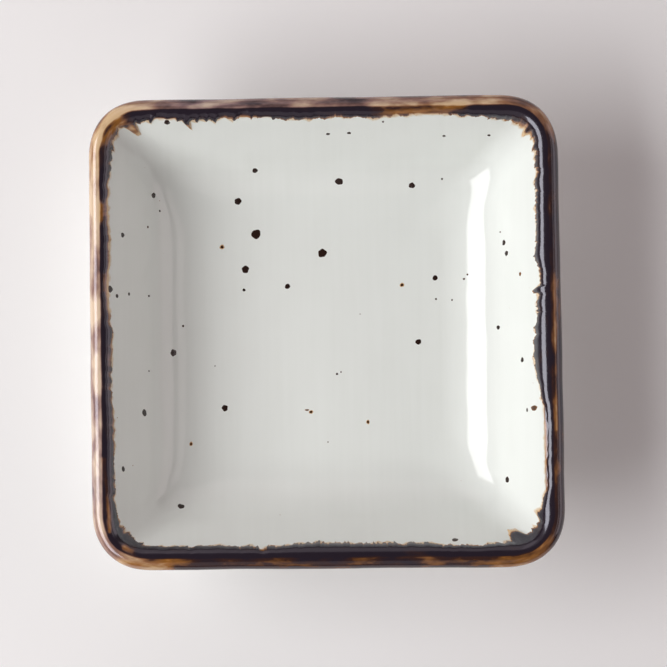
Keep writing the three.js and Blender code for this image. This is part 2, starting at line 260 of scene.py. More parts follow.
class DishColours(bpy.types.PropertyGroup):
    """Colours of the dish and its stage"""

    white: colour("White glaze", "White glaze where it lies thick", "#eff3ef")
    cloud: colour("Clouded glaze", "White glaze where the clay greys it", "#e8ece7")
    fringe: colour("Tan fringe", "White glaze stained by the brown coat", "#d9bf9b")
    pooled: colour("Pooled brown", "Brown coat where it lies thick", "#221924")
    brown: colour("Brown", "Brown coat of middling thickness", "#3d2114")
    # Mauve is partly a painted grey-purple sheen on the thin brown coat
    mauve_sheen: colour("Mauve", "Cool brown coat where it lies thin", "#93797a")
    plum: colour("Plum", "Cool brown coat of middling thickness", "#3a2a2b")
    gold: colour("Gold", "Warm brown coat where it is thinnest", "#dcba8c")
    amber: colour("Amber", "Brown coat where it lies thin", "#9a6427")
    tan: colour("Tan", "Brown coat where it is thinnest", "#dcc7b3")
    lustre: colour("Lustre", "Reflections in the brown coat", "#f0f0fc")
    iron: colour("Iron grain", "Middle of an iron spot", "#26150f")
    clay: colour("Bare clay", "Unglazed stoneware", "#b79c7e")
    clay_dark: colour("Toasted clay", "Unglazed stoneware toasted by the kiln", "#8d6f54")
    table: colour("Table", "Pale board under the dish", "#f6f5f5")
    fill: colour("Room light", "Light from the room round the dish", "#f8ebeb")


BEND_STEPS = 32


def bend(centre, radius, start, end):
    """Rows of half-width, height and facing round an arc. A negative radius makes a hollow arc."""
    facing = np.linspace(start, end, BEND_STEPS + 1)
    across = centre[0] + radius * np.cos(facing)
    height = centre[1] + radius * np.sin(facing)
    return np.stack([across, height, facing], axis=1)


class Section:
    """Outline of the clay in a cut through the middle of a side, measured along its white face.

    The way along it is zero at the top of the lip, less inside and more outside.
    """

    def __init__(self, sizes):
        self.white_face = sizes.coat_gap + sizes.white_coat
        self.rim_face = self.white_face + sizes.coat_gap + sizes.rim_coat
        clay_half = sizes.width / 2 - self.rim_face
        clay_top = sizes.height - self.rim_face
        floor = sizes.foot_height + sizes.slab
        self.ridge_half = clay_half - sizes.lip_outer
        foot_half = sizes.foot_width / 2
        lip_inner = np.array([self.ridge_half, clay_top - sizes.lip_inner])
        lip_outer = np.array([self.ridge_half, clay_top - sizes.lip_outer])
        centre = np.array([sizes.floor_width / 2, floor + sizes.fillet])
        outer_bend = sizes.fillet + sizes.slab
        fall = centre - lip_inner
        rise = lip_outer - centre
        inner_reach = math.acos((sizes.lip_inner + sizes.fillet) / np.hypot(*fall))
        outer_reach = math.acos((outer_bend - sizes.lip_outer) / np.hypot(*rise))
        inner_wall = math.atan2(fall[1], fall[0]) - inner_reach
        outer_wall = math.atan2(rise[1], rise[0]) - outer_reach
        parts = [
            np.array([[0, floor, UP]]),
            bend(centre, -sizes.fillet, UP, inner_wall),
            bend(lip_inner, sizes.lip_inner, inner_wall, UP),
            bend(lip_outer, sizes.lip_outer, UP, outer_wall)[1:],
            bend(centre, outer_bend, outer_wall, DOWN),
            np.array([[0, sizes.foot_height, DOWN]]),
        ]
        self.half, self.height, self.facing = np.concatenate(parts).T
        wall_top = self.ridge_half + sizes.lip_inner * math.cos(inner_wall)
        inner = np.interp(self.half, [wall_top, clay_half], [sizes.well_corner, sizes.rim_corner])
        base_half = foot_half - sizes.foot_thickness
        base_corner = sizes.foot_corner - sizes.foot_thickness
        outer = np.interp(
            self.half,
            [0, base_half, foot_half, clay_half],
            [0, base_corner, sizes.foot_corner, sizes.rim_corner],
        )
        self.corner = np.where(self.facing >= OUT, inner, outer)
        face_half = self.half + self.white_face * np.cos(self.facing)
        face_height = self.height + self.white_face * np.sin(self.facing)
        steps = np.hypot(np.diff(face_half), np.diff(face_height))
        self.way = np.concatenate([[0], np.cumsum(steps)])
        ends = np.cumsum([len(part) for part in parts]) - 1
        self.way -= self.way[ends[2]]
        self.floor_middle = self.way[0]
        self.floor_edge = self.way[1]
        self.bend_end = self.way[ends[1]]
        self.wall_top = self.way[ends[1] + 1]
        self.lip_end = self.way[ends[3]]
        self.outer_bend = self.way[ends[3] + 1]
        self.base_edge = self.way[ends[4]]
        self.base_middle = self.way[-1]
        self.floor_height = floor + self.white_face

    def at(self, way, lift):
        """Half-width, height and plan corner at a way, lifted off the clay."""
        facing = np.interp(way, self.way, self.facing)
        out = lift * np.cos(facing)
        half = np.interp(way, self.way, self.half) + out
        height = np.interp(way, self.way, self.height) + lift * np.sin(facing)
        corner = np.interp(way, self.way, self.corner) + out
        return np.maximum(half, 0), height, corner

    def underside_way(self, half):
        """Way to a half-width on the underside."""
        under = self.way >= self.outer_bend
        return np.interp(-half, -self.half[under], self.way[under])


# Steps round each corner and along each side, for the clay, the foot, the white coats and the brown coat
BODY_RING = (24, 12)
FOOT_RING = (24, 70)
COAT_RING = (24, 80)
FINE_RING = (80, 340)


class Ring:
    """Places round the dish: four corners, with steps along the sides between them."""

    def __init__(self, corner_steps, side_steps):
        power = 2 / CORNER_FULLNESS
        turn = np.linspace(0, UP, corner_steps + 1)
        side = 1 - 2 * np.arange(1, side_steps) / side_steps
        none = np.zeros(len(side))
        self.along = np.tile(np.concatenate([np.ones(len(turn)), side]), 4)
        self.x = np.tile(np.concatenate([np.abs(np.cos(turn)) ** power, none]), 4)
        self.y = np.tile(np.concatenate([np.abs(np.sin(turn)) ** power, none + 1]), 4)
        quarter = np.repeat(np.arange(4), len(turn) + len(side)) * UP
        self.cos, self.sin = np.cos(quarter), np.sin(quarter)

    def points(self, half, height, corner):
        """Points round the dish, with one row for each row of half-widths."""
        span = np.minimum(corner, half)
        straight = half - span
        x = straight * self.along + span * self.x
        y = straight + span * self.y
        turned = (x * self.cos - y * self.sin, x * self.sin + y * self.cos, height)
        return np.stack(np.broadcast_arrays(*turned), axis=-1)


def glaze_wave(points):
    """How far the glaze stands off its even face at points of that face."""
    wave = np.zeros(points.shape[:-1])
    for step, direction, start, depth in GLAZE_WAVES:
        angle = math.radians(direction)
        along = points[..., 0] * math.cos(angle) + points[..., 1] * math.sin(angle) + points[..., 2]
        wave += depth * MM * np.sin(FULL_TURN * along / (step * MM) + start)
    return wave


PULL_LOOKS = 4


def pulled(points, half):
    """Points moved with the corners that stray."""
    moved = points.copy()
    for side_x, side_y, pull_x, pull_y in CORNER_PULLS:
        near_x = (1 + side_x * points[..., 0] / half) / 2
        near_y = (1 + side_y * points[..., 1] / half) / 2
        share = near_x * near_y
        moved[..., 0] += share * pull_x * MM
        moved[..., 1] += share * pull_y * MM
    return moved


def rows_as_faces(rows):
    """Points and faces of one closed body from rows of points.

    The rows begin and end in one point, or the last joins the first.
    """
    starts = np.cumsum([0] + [len(row) for row in rows])
    looped = len(rows[0]) > 1
    faces = []
    for i in range(len(rows) if looped else len(rows) - 1):
        j = (i + 1) % len(rows)
        here = np.arange(max(len(rows[i]), len(rows[j])))
        after = np.roll(here, -1)
        walk = ((i, here), (j, here), (j, after), (i, after))
        corners = [starts[k] + slots % len(rows[k]) for k, slots in walk]
        faces.extend(list(dict.fromkeys(face)) for face in np.stack(corners, axis=1).tolist())
    return np.concatenate(rows), faces


def add_object(name, data):
    """A new object in the scene."""
    made = bpy.data.objects.new(name, data)
    bpy.context.scene.collection.objects.link(made)
    return made


def make_piece(name, bodies, sizes, material, slot, nodes=(), values=None):
    """One mesh object from closed bodies, which rides on the dish and stands for the named nodes."""
    points, faces = [], []
    for rows in bodies:
        body_points, body_faces = rows_as_faces(rows)
        start = sum(len(found) for found in points)
        points.append(body_points)
        faces.extend([[start + corner for corner in face] for face in body_faces])
    mesh = bpy.data.meshes.new(name)
    mesh.from_pydata(pulled(np.concatenate(points), sizes.width / 2).tolist(), [], faces)
    mesh.polygons.foreach_set("use_smooth", np.ones(len(mesh.polygons), dtype=bool))
    for value_name, numbers in (values or {}).items():
        numbers = np.concatenate(numbers).astype(np.float32)
        kind, field = ("FLOAT", "value") if numbers.ndim == 1 else ("FLOAT_VECTOR", "vector")
        layer = mesh.attributes.new(value_name, kind, "POINT")
        layer.data.foreach_set(field, numbers.ravel())
    mesh.materials.append(material)
    mesh.update()
    piece = add_object(name, mesh)
    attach(piece, "root")
    if nodes:
        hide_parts(*nodes)
    return piece


def before_pull(place, half):
    """The place in plan that the straying corners bring to a place."""
    target = np.array([*place, 0.0])
    point = target
    for _ in range(PULL_LOOKS):
        point = target - (pulled(point, half) - point)
    return point[:2]


# Camera as in the photograph
IMAGE_SIDE = 667
PIXELS_PER_MM = 4.7
CAMERA_DISTANCE = 1000 * MM
CAMERA_TILT = math.radians(5.3)
CAMERA_ROLL = math.radians(-0.73)
AIM_OFFSET = (1.7 * MM, -0.2 * MM)
SENSOR_WIDTH = 36


class Eye:
    """The camera's place and axes, and what it sees under a pixel."""

    def __init__(self, sizes):
        turn = np.array([[math.cos(CAMERA_ROLL), -math.sin(CAMERA_ROLL), 0],
                         [math.sin(CAMERA_ROLL), math.cos(CAMERA_ROLL), 0],
                         [0, 0, 1]])
        self.right = turn @ (1, 0, 0)
        self.up = turn @ (0, math.cos(CAMERA_TILT), math.sin(CAMERA_TILT))
        self.back = turn @ (0, -math.sin(CAMERA_TILT), math.cos(CAMERA_TILT))
        aim = self.right * AIM_OFFSET[0] + self.up * AIM_OFFSET[1] + np.array([0, 0, sizes.height])
        self.place = aim + self.back * CAMERA_DISTANCE
        self.half = sizes.width / 2

    def ground(self, pixel_x, pixel_y, height):
        """Plan place under a pixel, at a height, as it lay before the corners strayed."""
        right = (pixel_x - IMAGE_SIDE / 2) / PIXELS_PER_MM * MM
        up = (IMAGE_SIDE / 2 - pixel_y) / PIXELS_PER_MM * MM
        ray = self.right * right + self.up * up - self.back * CAMERA_DISTANCE
        place = self.place + ray * ((height - self.place[2]) / ray[2])
        return before_pull(place[:2], self.half)


class Well:
    """The white face inside the dish as a surface to seat grains on."""

    HALVINGS = 40
    REACH = 0.05 * MM
    LOOKS = 12

    def __init__(self, section):
        self.section = section

    def holds(self, way, x, y):
        """True where a place in plan lies within the ring at a way."""
        half, _, corner = self.section.at(way, self.section.white_face)
        span = np.minimum(corner, half)
        past_x = np.maximum(np.abs(x) - (half - span), 0) / span
        past_y = np.maximum(np.abs(y) - (half - span), 0) / span
        return past_x**CORNER_FULLNESS + past_y**CORNER_FULLNESS <= 1

    def height(self, x, y):
        """Height of the white face at places in plan."""
        low = np.full(np.shape(x), self.section.floor_edge)
        high = np.zeros(np.shape(x))
        for _ in range(self.HALVINGS):
            middle = (low + high) / 2
            inside = self.holds(middle, x, y)
            high = np.where(inside, middle, high)
            low = np.where(inside, low, middle)
        return self.section.at(high, self.section.white_face)[1]

    def frame_at(self, x, y):
        """Two directions along the white face, and the one it looks in."""
        reach = np.array([self.REACH, -self.REACH])
        rise_x = -np.diff(self.height(x + reach, y + 0 * reach))[0] / (2 * self.REACH)
        rise_y = -np.diff(self.height(x + 0 * reach, y + reach))[0] / (2 * self.REACH)
        facing = np.array([-rise_x, -rise_y, 1])
        facing /= np.linalg.norm(facing)
        across = np.array([1, 0, rise_x])
        across /= np.linalg.norm(across)
        return across, np.cross(facing, across), facing

    def under_pixel(self, eye, pixel_x, pixel_y):
        """Place in plan where a pixel's ray meets the white face."""
        height = self.section.floor_height
        for _ in range(self.LOOKS):
            x, y = eye.ground(pixel_x, pixel_y, height)
            height = float(self.height(np.array([x]), np.array([y]))[0])
        return x, y


def set_inputs(tree, node, inputs):
    """Links the inputs that are given sockets, and sets the others."""
    for name, value in inputs.items():
        if isinstance(value, bpy.types.NodeSocket):
            tree.links.new(value, node.inputs[name])
        else:
            node.inputs[name].default_value = value


def add_node(tree, kind, inputs=None, **settings):
    """A shader node with its settings and inputs."""
    node = tree.nodes.new(kind)
    for name, value in settings.items():
        setattr(node, name, value)
    set_inputs(tree, node, inputs or {})
    return node


def new_material(name):
    """A material: its tree, its shader, and the place on the object as a socket."""
    material = bpy.data.materials.new(name)
    material.use_nodes = True
    tree = material.node_tree
    tree.nodes.clear()
    shader = add_node(tree, "ShaderNodeBsdfPrincipled")
    add_node(tree, "ShaderNodeOutputMaterial", {"Surface": shader.outputs["BSDF"]})
    return material, tree, shader, add_node(tree, "ShaderNodeTexCoord").outputs["Object"]


def noise(tree, place, grain, detail):
    """Noise from 0 to 1 with grains of about a length."""
    inputs = {"Vector": place, "Scale": 1 / grain, "Detail": detail}
    return add_node(tree, "ShaderNodeTexNoise", inputs).outputs["Fac"]


def ranged(tree, value, old, new=(0.0, 1.0), **settings):
    """A value spread from one range to another."""
    inputs = {"Value": value, "From Min": old[0], "From Max": old[1], "To Min": new[0], "To Max": new[1]}
    return add_node(tree, "ShaderNodeMapRange", inputs, **settings).outputs[0]


def worked(tree, operation, *values):
    """Numbers put together by an operation."""
    return add_node(tree, "ShaderNodeMath", dict(enumerate(values)), operation=operation).outputs[0]


def kept_value(tree, name, output="Fac"):
    """A value that a piece keeps on its points."""
    return add_node(tree, "ShaderNodeAttribute", attribute_name=name).outputs[output]


def bumped(tree, height, strength, depth):
    """A surface roughened by a height."""
    inputs = {"Height": height, "Strength": strength, "Distance": depth}
    return add_node(tree, "ShaderNodeBump", inputs).outputs["Normal"]


def ramped(tree, value, colours, stops):
    """Colours along a value, from each stop's place and the name of its colour."""
    node = add_node(tree, "ShaderNodeValToRGB", {"Fac": value})
    ramp = node.color_ramp.elements
    while len(ramp) < len(stops):
        ramp.new(1)
    for element, (position, name) in zip(ramp, stops):
        element.position = position
        element.color = tuple(getattr(colours, name))
    return node.outputs["Color"]


# Sockets of the colour kind of a Mix node, which share their names with other kinds
MIX_FACTOR = 0
MIX_A = 6
MIX_B = 7
MIX_RESULT = 2


def mixed(tree, factor, first, second):
    """Two colours mixed by a factor."""
    inputs = {MIX_FACTOR: factor, MIX_A: first, MIX_B: second}
    return add_node(tree, "ShaderNodeMix", inputs, data_type="RGBA").outputs[MIX_RESULT]


GLAZE_IOR = 1.52
IRON_GLAZE_IOR = 1.75
STONEWARE_IOR = 1.5
GLOSS_ROUGHNESS = 0.09
SPOT_ROUGHNESS = 0.2
CLAY_ROUGHNESS = 0.85
BOARD_ROUGHNESS = 0.7
# The part of a noise's range that most of it lies in
NOISE_RANGE = (0.3, 0.7)

# White glaze: sizes of its clouds, its streaks across and along, its stain, its grains and its orange peel
CLOUD_SIZE = 14 * MM
STREAK_WIDTH = 1.1 * MM
STREAK_LENGTH = 30 * MM
STAIN_SIZE = 1.5 * MM
FINE_GRAIN_SPACING = 3.4 * MM
PEEL_SIZE = 2.5 * MM
PEEL_STRENGTH = 0.05
PEEL_DEPTH = 0.05 * MM
# Range of clouds times streaks that runs from white to clouded
CLOUD_RANGE = (0.0, 0.9)
# How much the stain's edge wanders, the distances in mm over which it fades, and its strength there
STAIN_WANDER = 1.6
STAIN_RANGE = (1.3, 0.55)
STAIN_STRENGTH = (0.0, 0.9)
# Which cells hold a fine grain, and how wide it is against the cell
GRAIN_RANGE = (0.55, 0.9)
GRAIN_WIDTH = (0.0, 0.035)


def white_stoneware_glaze(colours):
    """Glossy white glaze poured over iron-bearing stoneware.

    It pools and thins a little as it runs, so its white clouds over and streaks, and fine grains of iron
    melt up through it. Beside the brown coat it takes a tan stain.
    """
    material, tree, shader, place = new_material("white stoneware glaze")
    clouds = noise(tree, place, CLOUD_SIZE, detail=3)
    scale = (1 / STREAK_WIDTH, 1 / STREAK_LENGTH, 1 / STREAK_LENGTH)
    stretched = add_node(tree, "ShaderNodeVectorMath", {0: place, 1: scale}, operation="MULTIPLY")
    streaks = noise(tree, stretched.outputs[0], 1, detail=2)
    cloudy = ranged(tree, worked(tree, "MULTIPLY", clouds, streaks), CLOUD_RANGE)
    white = mixed(tree, cloudy, tuple(colours.white), tuple(colours.cloud))
    wander = noise(tree, place, STAIN_SIZE, detail=4)
    from_rim = worked(tree, "MULTIPLY_ADD", wander, STAIN_WANDER, kept_value(tree, "from_rim"))
    stain = ranged(tree, from_rim, STAIN_RANGE, STAIN_STRENGTH, interpolation_type="SMOOTHSTEP")
    stained = mixed(tree, stain, white, tuple(colours.fringe))
    cells = add_node(tree, "ShaderNodeTexVoronoi", {"Vector": place, "Scale": 1 / FINE_GRAIN_SPACING})
    width = ranged(tree, cells.outputs["Color"], GRAIN_RANGE, GRAIN_WIDTH)
    grain = worked(tree, "LESS_THAN", cells.outputs["Distance"], width)
    peel = noise(tree, place, PEEL_SIZE, detail=1)
    set_inputs(tree, shader, {
        "Base Color": mixed(tree, grain, stained, tuple(colours.amber)),
        "Normal": bumped(tree, peel, PEEL_STRENGTH, PEEL_DEPTH),
        "Roughness": GLOSS_ROUGHNESS,
        "IOR": GLAZE_IOR,
    })
    return material


# Brown glaze: how much its thickness is mottled, its colours from thin to thick where it is cool and where
# it is warm, the cool mauve partly a painted grey-purple sheen, its orange peel, and the crystals that dull
# it in places
MOTTLE = (-0.3, 0.3)
COOL_STOPS = ((0.0, "tan"), (0.36, "mauve_sheen"), (0.62, "plum"), (0.85, "pooled"))
WARM_STOPS = ((0.0, "gold"), (0.28, "amber"), (0.55, "brown"), (0.85, "pooled"))
RIM_PEEL_SIZE = 1.2 * MM
RIM_PEEL_STRENGTH = 0.1
RIM_PEEL_DEPTH = 0.08 * MM
CRYSTAL_SIZE = 0.35 * MM
CRYSTAL_ROUGHNESS = (0.09, 0.22)


def iron_brown_glaze(colours):
    """Glossy iron glaze brushed on the lip over the white one.

    It runs off the ridge, so it is blue-black where it pools, red-brown where it lies thinner, and amber
    to tan where the white shows through on the outer shoulder and along its running edges. Iron crystals at
    its surface give reflections a faint blue lustre.
    """
    material, tree, shader, place = new_material("iron brown glaze")
    mottle = ranged(tree, noise(tree, kept_value(tree, "flow", "Vector"), 1, detail=4), NOISE_RANGE, MOTTLE)
    thick = worked(tree, "ADD", kept_value(tree, "pooling"), mottle)
    # The cool ramp's mauve stands partly for a painted sheen
    cool = ramped(tree, thick, colours, COOL_STOPS)
    warm = ramped(tree, thick, colours, WARM_STOPS)
    peel = noise(tree, place, RIM_PEEL_SIZE, detail=2)
    crystals = noise(tree, place, CRYSTAL_SIZE, detail=2)
    set_inputs(tree, shader, {
        "Base Color": mixed(tree, kept_value(tree, "warm"), cool, warm),
        "Normal": bumped(tree, peel, RIM_PEEL_STRENGTH, RIM_PEEL_DEPTH),
        "Roughness": ranged(tree, crystals, NOISE_RANGE, CRYSTAL_ROUGHNESS),
        "IOR": IRON_GLAZE_IOR,
        "Specular Tint": tuple(colours.lustre),
    })
    return material


# Iron spots: their mottle, and their colours from dark iron to white
SPOT_MOTTLE_SIZE = 0.6 * MM
SPOT_MOTTLE = 0.2
SPOT_STOPS = ((0.1, "iron"), (0.35, "brown"), (0.6, "amber"), (0.9, "fringe"), (1.0, "white"))


def iron_spot_glaze(colours):
    """Grains of iron melted into the glaze.

    They are nearly black in the middle and brown towards the edge, and some stain the white round them amber.
    """
    material, tree, shader, place = new_material("iron spot glaze")
    mottle = noise(tree, place, SPOT_MOTTLE_SIZE, detail=3)
    tone = worked(tree, "MULTIPLY_ADD", mottle, SPOT_MOTTLE, kept_value(tree, "tone"))
    set_inputs(tree, shader, {
        "Base Color": ramped(tree, tone, colours, SPOT_STOPS),
        "Roughness": SPOT_ROUGHNESS,
        "IOR": GLAZE_IOR,
    })
    return material


# Bare clay: sizes of its toasted patches and its grit, the grit dark enough to see, and how it stands out
TOAST_SIZE = 9 * MM
GRIT_SIZE = 0.5 * MM
GRIT_RANGE = (0.62, 0.7)
GRIT_STRENGTH = 0.5
GRIT_DEPTH = 0.15 * MM


def bare_stoneware(colours):
    """Unglazed stoneware, fired to a buff brown.

    Grog stands in the surface as grit, and the kiln toasts it darker in patches.
    """
    material, tree, shader, place = new_material("bare stoneware")
    toasted = noise(tree, place, TOAST_SIZE, detail=4)
    base = mixed(tree, toasted, tuple(colours.clay), tuple(colours.clay_dark))
    grit = noise(tree, place, GRIT_SIZE, detail=4)
    set_inputs(tree, shader, {
        "Base Color": mixed(tree, ranged(tree, grit, GRIT_RANGE), base, tuple(colours.iron)),
        "Normal": bumped(tree, grit, GRIT_STRENGTH, GRIT_DEPTH),
        "Roughness": CLAY_ROUGHNESS,
        "IOR": STONEWARE_IOR,
    })
    return material


BOARD_CLOUD_SIZE = 90 * MM
BOARD_LEVELS = (0.985, 1.015)


def matt_painted_board(colours):
    """Matt board with an even coat of rolled paint, which leaves slow, slight changes of tone."""
    material, tree, shader, place = new_material("matt painted board")
    level = ranged(tree, noise(tree, place, BOARD_CLOUD_SIZE, detail=2), (0.0, 1.0), BOARD_LEVELS)
    inputs = {"Color": tuple(colours.table), "Value": level}
    tone = add_node(tree, "ShaderNodeHueSaturation", inputs).outputs["Color"]
    set_inputs(tree, shader, {"Base Color": tone, "Roughness": BOARD_ROUGHNESS})
    return material


class DISH_OT_clay_body(bpy.types.Operator):
    """Presses the clay slab with its rolled lip"""

    bl_idname = "dish.clay_body"
    bl_label = "Clay body"

    ROWS = 130

    def execute(self, context):
        sizes = context.scene.dish_sizes
        section = Section(sizes)
        ring = Ring(*BODY_RING)
        ways = np.linspace(section.floor_middle, section.base_middle, self.ROWS)
        rows = ring.points(*(values[:, None] for values in section.at(ways, 0)))
        rows = [rows[0][:1], *rows[1:-1], rows[-1][:1]]
        material = bare_stoneware(context.scene.dish_colours)
        make_piece("stoneware_body", [rows], sizes, material, "stoneware", ["clay_body"])
        return {"FINISHED"}


class DISH_OT_foot_ring(bpy.types.Operator):
    """Lutes the bare clay foot under the slab"""

    bl_idname = "dish.foot_ring"
    bl_label = "Foot ring"

    TOP_STEPS = 12
    SIDE_STEPS = 8
    BITE = 0.3 * MM

    def execute(self, context):
        sizes = context.scene.dish_sizes
        section = Section(sizes)
        ring = Ring(*FOOT_RING)
        outer = sizes.foot_width / 2
        inner = outer - sizes.foot_thickness
        edge = sizes.foot_edge
        top = np.linspace(inner, outer, self.TOP_STEPS)
        top_height = section.at(section.underside_way(top), 0)[1] + self.BITE
        outer_edge = bend((outer - edge, edge), edge, OUT, DOWN)
        inner_edge = bend((inner + edge, edge), edge, DOWN, -math.pi)
        outer_side = np.linspace(top_height[-1], edge, self.SIDE_STEPS)[1:-1]
        inner_side = np.linspace(edge, top_height[0], self.SIDE_STEPS)[1:-1]
        edges = (outer_edge[:, 0], inner_edge[:, 0])
        half = np.concatenate([top, 0 * outer_side + outer, *edges, 0 * inner_side + inner])
        height = np.concatenate([top_height, outer_side, outer_edge[:, 1], inner_edge[:, 1], inner_side])
        corner = sizes.foot_corner - (outer - half)
        rows = ring.points(half[:, None], height[:, None], corner[:, None])
        material = bpy.data.materials.get("bare stoneware") or bare_stoneware(context.scene.dish_colours)
        make_piece("stoneware_foot", [list(rows)], sizes, material, "stoneware", ["foot_ring"])
        return {"FINISHED"}


class RimEdges:
    """The running edges of the brown coat, round the lip."""

    LEAST_RUN = 2.1 * MM
    BITE_LEAST = 0.5 * MM
    BITE_WIDTH = (0.9, 2.0)
    BITE_DEPTH = (0.3, 0.85)
    BITE_MEAN = 0.55
    UNEVENNESS = 0.6
    UNEVEN_STEPS = (4, 7, 11)
    UNEVEN_LIMITS = (0.3, 1.4)
    WANDER = 0.16 * MM
    WANDER_STEPS = (2.5, 4, 6)
    FUZZ_STEPS = (0.55, 0.8, 1.3)
    DRIFT = 0.35 * MM
    DRIFT_STEPS = (2.2, 3.5, 6.0)
    WAVES_PER_STEP = 4
    STEP_SPREAD = (0.8, 1.25)
    SEED = 11

    def __init__(self, sizes, section, eye, ring):
        ridge = ring.points(*section.at(np.zeros(1), section.white_face))
        gaps = np.linalg.norm(np.roll(ridge, -1, axis=0) - ridge, axis=1)
        run = np.cumsum(gaps) - gaps
        total = gaps.sum()
        turn = np.arctan2(ridge[:, 1], ridge[:, 0])
        notes = []
        for *pixel, teeth, fringe, further, fade, thin, warm in RIM_NOTES:
            nearest = self.nearest(ridge, eye.ground(*pixel, sizes.height))
            notes.append((run[nearest], teeth * MM, fringe * MM, further * MM, fade * MM, thin, warm))
        notes = np.array(sorted(notes)).T
        smooth = (np.interp(run, notes[0], values, period=total) for values in notes[1:])
        # thin carries the outer shoulder's thinness, which is partly painted light and shade
        teeth, fringe, further, self.fade, self.thin, self.warm = smooth
        for *pixel, width, depth in RIM_RUNS:
            nearest = self.nearest(ridge, eye.ground(*pixel, sizes.height))
            away = np.abs((run - run[nearest] + total / 2) % total - total / 2)
            further = further + depth * MM * np.exp(-((2 * away / (width * MM)) ** RUN_FALL))
        random = np.random.default_rng(self.SEED)
        unevenness = self.noise(run, total, self.UNEVEN_STEPS, random)
        teeth = teeth * np.clip(1 + self.UNEVENNESS * unevenness, *self.UNEVEN_LIMITS)
        further = further + self.WANDER * self.noise(run, total, self.WANDER_STEPS, random)
        plain = sizes.run_inside + self.stray(turn) + further
        bites = self.bites(run, total, teeth, random)
        fuzz = self.noise(run, total, self.FUZZ_STEPS, random)
        reach = plain + self.BITE_MEAN * teeth - bites + fringe * fuzz
        drift = self.DRIFT * self.noise(run, total, self.DRIFT_STEPS, random)
        outside_stray = OUTSIDE_WAVE_SCALE * self.stray(turn + OUTSIDE_WAVE_TURN)
        self.plain_inside = -plain
        self.inside = -np.maximum(reach, self.LEAST_RUN)
        self.outside = section.lip_end + sizes.run_outside + outside_stray + drift
        self.run, self.total = run, total

    @staticmethod
    def nearest(ridge, place):
        """The slot of the ridge that is nearest to a place in plan."""
        return np.argmin(np.linalg.norm(ridge[:, :2] - place, axis=1))

    def bites(self, run, total, teeth, random):
        """Round bites of white into the brown edge, side by side, with a cusp of brown between two."""
        bites = np.zeros(len(run))
        start = 0.0
        while start < total:
            size = np.interp(start, run, teeth)
            width = self.BITE_LEAST + size * random.uniform(*self.BITE_WIDTH)
            depth = size * random.uniform(*self.BITE_DEPTH)
            share = 2 * (run - start) / width - 1
            within = np.abs(share) < 1
            bites[within] = depth * np.sqrt(1 - share[within] ** 2)
            start += width
        return bites

    def noise(self, run, total, steps, random):
        """Waves round the lip of about the given lengths in mm, with a spread of one."""
        waves = np.zeros(len(run))
        for step in steps:
            for _ in range(self.WAVES_PER_STEP):
                count = round(total / (step * MM) * random.uniform(*self.STEP_SPREAD))
                waves += np.sin(FULL_TURN * count * run / total + random.uniform(0, FULL_TURN))
        return waves / waves.std()

    @staticmethod
    def stray(turn):
        """Broad waves of an edge, the same as those of the solid."""
        return sum(depth * MM * np.sin(count * turn + start) for count, depth, start in EDGE_WAVES)


